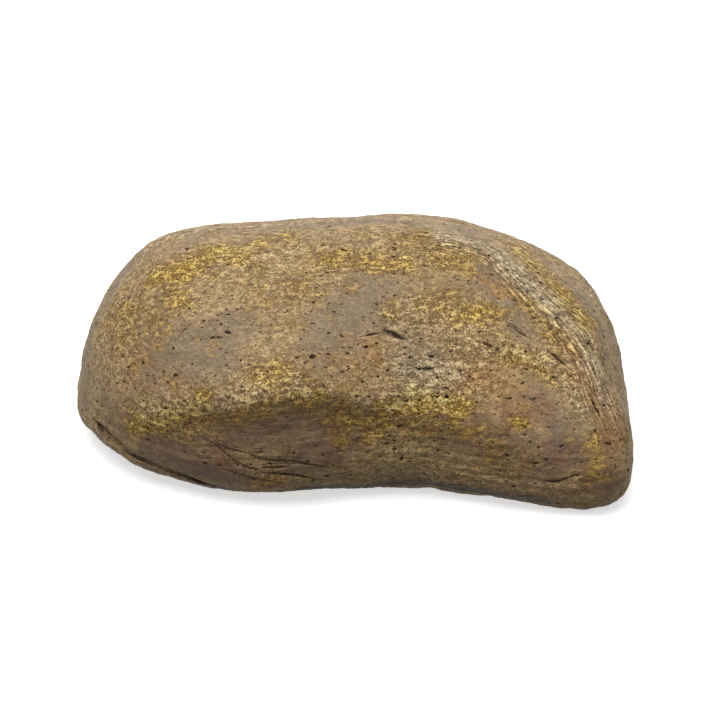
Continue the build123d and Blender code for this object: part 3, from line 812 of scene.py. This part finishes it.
class Finish:
    """The nodes of a material or of the world. All but the Math nodes come from its node method."""

    def __init__(self, block, shader="Principled BSDF"):
        block.use_nodes = True
        self.block = block
        self.tree = block.node_tree
        self.shader = self.tree.nodes[shader]

    def node(self, kind, settings=None, inputs=None, output=0):
        """Adds a node: its settings first, then the values or links of its sockets, by name or number."""
        added = self.tree.nodes.new(kind)
        for name, value in (settings or {}).items():
            setattr(added, name, value)
        for name, value in (inputs or {}).items():
            self.feed(added.inputs[name], value)
        return Socket(self, added.outputs[output])

    def feed(self, socket, value):
        """Links a socket to another node, or sets it."""
        if isinstance(value, Socket):
            self.tree.links.new(value.output, socket)
        else:
            socket.default_value = value

    def set(self, **values):
        """Sets or links sockets of the shader, with _ for a space in a name."""
        for name, value in values.items():
            self.feed(self.shader.inputs[name.replace("_", " ")], value)

    def place(self):
        """Where a point of the surface is, in metres from the frame's origin."""
        return self.node("ShaderNodeTexCoord", output="Object")

    def stretched(self, stretch):
        """The same place, drawn out along each axis by these factors."""
        scale = tuple(1.0 / factor for factor in stretch)
        return self.node("ShaderNodeMapping", {}, {"Vector": self.place(), "Scale": scale})

    def noise(self, size, detail=3.0, roughness=0.5, where=None):
        """Noise about 0.5, with lumps of this size in millimetres."""
        inputs = {"Vector": where or self.place(), "Scale": 1.0 / (size * MM)}
        inputs |= {"Detail": detail, "Roughness": roughness}
        return self.node("ShaderNodeTexNoise", {}, inputs)

    def specks(self, size, where):
        """Distance to the nearest of many scattered points, this many millimetres apart."""
        inputs = {"Vector": where, "Scale": 1.0 / (size * MM)}
        return self.node("ShaderNodeTexVoronoi", {"feature": "F1"}, inputs)

    def kept(self, name, output="Fac"):
        """A value, or with the output Vector a vector, that is kept on the mesh's points."""
        return self.node("ShaderNodeAttribute", {"attribute_name": name}, output=output)

    def mix(self, share, first, second, blend="MIX"):
        """Two colours mixed by a share from 0 to 1."""
        settings = {"data_type": "RGBA", "blend_type": blend, "clamp_factor": True}
        return self.node("ShaderNodeMix", settings, {0: share, 6: first, 7: second}, output=2)

    def bump(self, height, distance, strength=1.0, under=None):
        """A normal that follows a height from 0 to 1, distance millimetres tall."""
        inputs = {"Height": height, "Distance": distance * MM, "Strength": strength}
        if under is not None:
            inputs["Normal"] = under
        return self.node("ShaderNodeBump", {}, inputs)


def paint(red, green, blue):
    """A colour given in the 0 to 255 values of a screen, as the shaders take it."""
    linear = []
    for value in (red, green, blue):
        share = value / 255.0
        linear.append(share / 12.92 if share <= 0.04045 else ((share + 0.055) / 1.055) ** 2.4)
    return (*linear, 1.0)


STONE_BROWN = paint(170, 144, 105)
STONE_TAN = paint(186, 158, 116)
STONE_GREY = paint(138, 121, 99)
STONE_OLIVE = paint(168, 151, 106)
STONE_RUST = paint(182, 130, 84)
# a dark plum, partly the stone's colour and partly painted shade on its lower faces
STONE_PLUM_AND_SHADE = paint(112, 88, 76)
STONE_OCHRE = paint(224, 186, 98)
STONE_OCHRE_DEEP = paint(178, 142, 68)
STONE_CREAM = paint(216, 198, 164)
STONE_SHADE = paint(196, 182, 162)  # what the paint in the dimples is multiplied by: partly a dark wash, partly painted shade
# the near-black of the pits, cracks and pores: partly dark paint, partly painted shade in the hollows
STONE_PIT = paint(52, 36, 25)
# the near-black of the painted shade under the front and in the crevices
STONE_PAINTED_SHADE = paint(34, 27, 21)
RAW_RESIN = paint(122, 104, 84)


def stone_grain(finish):
    """The uneven fields that the stone's colours and bumps share."""
    broad = finish.noise(15.0, 3.0, 0.55)
    blotch = finish.noise(5.0, 5.0, 0.6)
    patchy = finish.noise(2.2, 4.0, 0.65)
    grain = finish.noise(0.95, 3.0, 0.6, finish.stretched((1.5, 1.0, 0.9)))
    dust = finish.noise(0.42, 3.0, 0.6)
    curls = finish.noise(1.3, 2.0, 0.5, finish.stretched((1.6, 1.0, 0.8)))

    # Strands run along the ribbed ridge, and lie level elsewhere
    ribbed = finish.kept("ribbed").rising(0.2, 0.7)
    rib_way = {"Vector": finish.kept("rib_place", "Vector"), "Scale": (0.18, 2.6, 1.0)}
    strands = {"Vector": finish.node("ShaderNodeMapping", {}, rib_way)}
    strands |= {"Scale": 1.0, "Detail": 3.0, "Roughness": 0.7}
    strand = finish.node("ShaderNodeTexNoise", {}, strands)
    drawn = finish.noise(1.0, 3.0, 0.65, finish.stretched((4.0, 2.0, 1.0)))
    streak = ribbed * strand + (1 - ribbed) * drawn
    mottle = (grain * 0.45 + dust * 0.3 + streak * 0.25) * (1 - ribbed * 0.5) + streak * ribbed * 0.5

    # Smooth grey places are less coarse than ochre and cream ones
    coarse = broad * 0.7 + blotch * 0.6 + finish.kept("ochre") * 0.5 + finish.kept("cream") * 0.5
    coarse = coarse - finish.kept("grey") * 0.4 - finish.kept("plum_and_shade") * 0.45
    return SimpleNamespace(
        broad=broad,
        blotch=blotch,
        patchy=patchy,
        grain=grain,
        dust=dust,
        curl=1 - (curls - 0.5).size() * 9.0,
        ribbed=ribbed,
        strand=strand,
        streak=streak,
        mottle=mottle,
        dimple=1 - mottle.rising(0.43, 0.57),
        coarse=coarse.rising(0.15, 1.0),
    )


def stone_base(finish, of):
    """The brown of the stone under its washes of olive, grey, rust and plum, where the plum is partly the
    stone's colour and partly painted shade on its lower faces.
    """
    colour = finish.mix(of.broad.rising(0.42, 0.60), STONE_BROWN, STONE_TAN)
    olive = (of.blotch * 0.6 + of.broad * 0.4).rising(0.50, 0.62)
    colour = finish.mix(olive * 0.5, colour, STONE_OLIVE)
    grey = finish.kept("grey") * 0.9 + (of.blotch - 0.5) * 1.2 + (0.5 - of.broad) * 1.2
    colour = finish.mix(grey.rising(0.05, 0.75) * 0.85, colour, STONE_GREY)
    rust = finish.kept("rust") + (of.blotch - 0.5) * 1.4 + (of.streak - 0.5) * 0.8
    colour = finish.mix(rust.rising(0.1, 1.0) * 0.8, colour, STONE_RUST)
    # The plum is partly painted shade on the lower faces
    plum_and_shade = finish.kept("plum_and_shade") + (of.blotch - 0.5) * 1.2
    return finish.mix(plum_and_shade.rising(0.1, 0.9) * 0.8, colour, STONE_PLUM_AND_SHADE)


def stone_washes(finish, of, colour):
    """Over that, ochre, dimples darkened partly by a wash and partly as painted shade, cream on what stands
    out, partly dry-brushed and partly a painted highlight, and a fine speckle.
    """
    ochre = finish.kept("ochre") * 0.9 + (of.blotch - 0.5) * 1.5 + (of.patchy - 0.5) * 1.1
    ochre_here = (ochre + (of.mottle - 0.5) * 1.2).rising(-0.05, 0.85)
    colour = finish.mix(ochre_here * 0.80, colour, STONE_OCHRE_DEEP)
    bright = (ochre * 0.8 + of.curl * 0.15 + (of.mottle - 0.5) * 2.5).rising(0.25, 1.15)
    colour = finish.mix(bright * ochre_here * 0.65, colour, STONE_OCHRE)
    # The dimples are darkened: partly a dark wash, partly painted shade
    deep = finish.mix(1.0, colour, STONE_SHADE, "MULTIPLY")
    colour = finish.mix(of.dimple * (of.coarse * 0.8 + 0.12), colour, deep)
    # Cream also pales the crests of the grain: partly dry-brushed, partly a painted highlight
    cream = finish.kept("cream") * 0.75 + (of.mottle - 0.5) * 2.2 + (of.coarse - 0.6) * 0.3
    cream = (cream + of.ribbed * 0.10).rising(0.10, 1.25)
    colour = finish.mix(cream * 0.65, colour, STONE_CREAM)
    speckle = (of.dust - 0.5) * 2.2 + (of.grain - 0.5) * 1.2 + (of.strand - 0.5) * of.ribbed * 2.0
    speckle = (speckle * (of.coarse * 0.6 + 0.25) + 0.54).clamped()
    return finish.mix(1.0, colour, speckle, "OVERLAY")


def stone_holes(finish, of):
    """1 in the pits, the cracks and the pores, with frayed edges."""
    frayed = (of.dust - 0.5) * 1.2
    pit_near = 1 - finish.kept("pit_gap").rising(0.65, 0.85)
    pit = 1 - (finish.kept("pit_offset", "Vector").size() + frayed).rising(0.6, 1.2)
    crack_near = (1 - finish.kept("crack_gap").rising(0.7, 1.1)) * of.grain.rising(0.36, 0.46)
    crack = 1 - (finish.kept("crack_across").size() + frayed).rising(0.3, 1.2)
    pores = finish.specks(1.05, finish.stretched((1.6, 1.0, 0.8)))
    pore = (1 - (pores + frayed * 0.05).rising(0.10, 0.24)) * of.patchy.rising(0.45, 0.58)
    return (pit * pit_near + crack * crack_near + pore * 0.8).clamped()


def stone_finish():
    """Cast resin under layered paint: pale where it stands out and dark in its pits, in part as painted
    highlight and painted shade, with painted shade under its front and in its crevices, and raw where it is
    cut.
    """
    finish = Finish(bpy.data.materials.new("cast_stone_resin"))
    of = stone_grain(finish)
    colour = stone_washes(finish, of, stone_base(finish, of))
    hole = stone_holes(finish, of)
    # Pits, cracks and pores are near black: partly dark paint, partly painted shade in the hollows
    colour = finish.mix(hole * 0.9, colour, STONE_PIT)
    # Painted shade under the front's undercut and in the crevices
    painted_shade = (finish.kept("painted_shade") * 1.1 + (of.patchy - 0.5) * 0.7).rising(0.25, 0.9)
    colour = finish.mix(painted_shade * 0.85, colour, STONE_PAINTED_SHADE)
    core = finish.kept("core").rising(0.3, 0.7)
    colour = finish.mix(core, colour, RAW_RESIN)

    skin = 1 - core
    crumbs = (1 - of.dimple) * skin * (of.coarse * 0.7 + 0.3) + of.dust * 0.4
    fine = finish.bump(crumbs, 0.16, 1.0)
    pitted = finish.bump(1 - hole * skin, 0.25, 0.9, fine)
    gloss = 0.54 - (of.patchy - 0.5) * 0.4 + hole * 0.25 + of.dimple * 0.08
    finish.set(Base_Color=colour, Roughness=gloss.clamped(), Normal=pitted)
    finish.set(IOR=1.5, Specular_IOR_Level=0.22)
    return finish.block


def plastic_finish(name, colour, worn):
    """Moulded plastic with a fine spark-eroded texture, and handling marks where it is rubbed."""
    finish = Finish(bpy.data.materials.new(name))
    texture = finish.noise(0.28, 2.0, 0.5)
    cloud = finish.noise(9.0, 3.0, 0.6)
    scuffs = finish.noise(1.2, 4.0, 0.7, finish.stretched((7.0, 0.8, 1.0)))
    rub = (scuffs * 0.75 + cloud * 0.25).rising(0.56, 0.70)
    tone = finish.mix(cloud.rising(0.3, 0.7) * 0.35, colour, worn)
    tone = finish.mix(rub * 0.35, tone, worn)
    finish.set(Base_Color=tone, Roughness=(0.46 + rub * 0.18 + (texture - 0.5) * 0.2).clamped())
    finish.set(Normal=finish.bump(texture + rub * 0.2, 0.035, 0.6), IOR=1.48)
    return finish.block


def screw_finish():
    """Zinc-plated steel, turned, with a little dirt."""
    finish = Finish(bpy.data.materials.new("zinc_plated_steel"))
    turned = finish.noise(0.10, 2.0, 0.5, finish.stretched((1.0, 1.0, 0.2)))
    stain = finish.noise(0.9, 4.0, 0.65)
    tone = finish.mix(stain.rising(0.5, 0.72) * 0.5, paint(186, 184, 178), paint(118, 106, 90))
    finish.set(Base_Color=tone, Roughness=(0.30 + (stain - 0.5) * 0.3 + (turned - 0.5) * 0.2).clamped())
    finish.set(Normal=finish.bump(turned, 0.02, 0.5), Metallic=1.0)
    return finish.block


def dress(piece, material):
    """Gives a piece one material."""
    piece.data.materials.clear()
    piece.data.materials.append(material)


# --- Floor, world and light --------------------------------------------------------------------------

WHITE = (1.0, 1.0, 1.0, 1.0)
BLACK = (0.0, 0.0, 0.0, 1.0)
FLOOR_SIZE = 6.0
FLOOR_TONE = (0.86, 0.86, 0.86, 1.0)
FLOOR_BOUNCE = (0.07, 0.065, 0.06, 1.0)
FLOOR_GLOW = (0.62, 0.62, 0.62, 1.0)
SKY_LIGHT = 0.17


def seen_directly(finish):
    """1 where the camera, a reflection or a view through glass looks at the surface, and 0 for other rays."""
    eye = finish.node("ShaderNodeLightPath", output="Is Camera Ray")
    mirror = finish.node("ShaderNodeLightPath", output="Is Glossy Ray")
    glass = finish.node("ShaderNodeLightPath", output="Is Transmission Ray")
    return (eye + mirror + glass).clamped()


def add_floor():
    """A plain pale floor."""
    half = FLOOR_SIZE / 2.0
    corners = [(-half, -half, 0.0), (half, -half, 0.0), (half, half, 0.0), (-half, half, 0.0)]
    floor = new_piece("floor", corners, [(0, 1, 2, 3)])
    finish = Finish(bpy.data.materials.new("pale_floor"))
    seen = seen_directly(finish)
    finish.set(Base_Color=finish.mix(seen, FLOOR_BOUNCE, FLOOR_TONE), Roughness=1.0, Specular_IOR_Level=0.0)
    finish.set(Emission_Color=finish.mix(seen, BLACK, FLOOR_GLOW), Emission_Strength=1.0)
    dress(floor, finish.block)


def add_world():
    """An even sky: white to the eye, softer as light."""
    sky = Finish(bpy.data.worlds.new("studio"), "Background")
    bpy.context.scene.world = sky.block
    sky.set(Color=WHITE, Strength=seen_directly(sky) * (1.0 - SKY_LIGHT) + SKY_LIGHT)


def add_softbox(name, place, size, power):
    """A square lamp that looks at the stone."""
    lamp = bpy.data.lights.new(name, "AREA")
    lamp.size = size
    lamp.energy = power
    softbox = bpy.data.objects.new(name, lamp)
    softbox.location = place
    softbox.rotation_euler = (VIEW_TARGET - Vector(place)).to_track_quat("-Z", "Y").to_euler()
    bpy.context.scene.collection.objects.link(softbox)


# --- The whole ---------------------------------------------------------------------------------------

bpy.context.scene.view_settings.view_transform = "Standard"
add_camera()
stone = stone_casting()
dress(stone, stone_finish())
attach(stone, "rock")
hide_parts("rock_shell")

TRAY_PLASTIC = paint(64, 60, 55)
TRAY_WORN = paint(96, 90, 82)
COVER_PLASTIC = paint(54, 51, 47)
COVER_WORN = paint(98, 92, 84)
dress(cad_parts["key_tray"], plastic_finish("moulded_tray_plastic", TRAY_PLASTIC, TRAY_WORN))
cover_finish = plastic_finish("moulded_cover_plastic", COVER_PLASTIC, COVER_WORN)
dress(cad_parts["sliding_cover"], cover_finish)
dress(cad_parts["tray_screws"], screw_finish())

add_floor()
add_world()
add_softbox("overhead_softbox", (-0.16, -0.36, 1.06), 0.9, 12.0)
add_softbox("rear_softbox", (0.15, 1.25, 0.55), 1.2, 4.5)
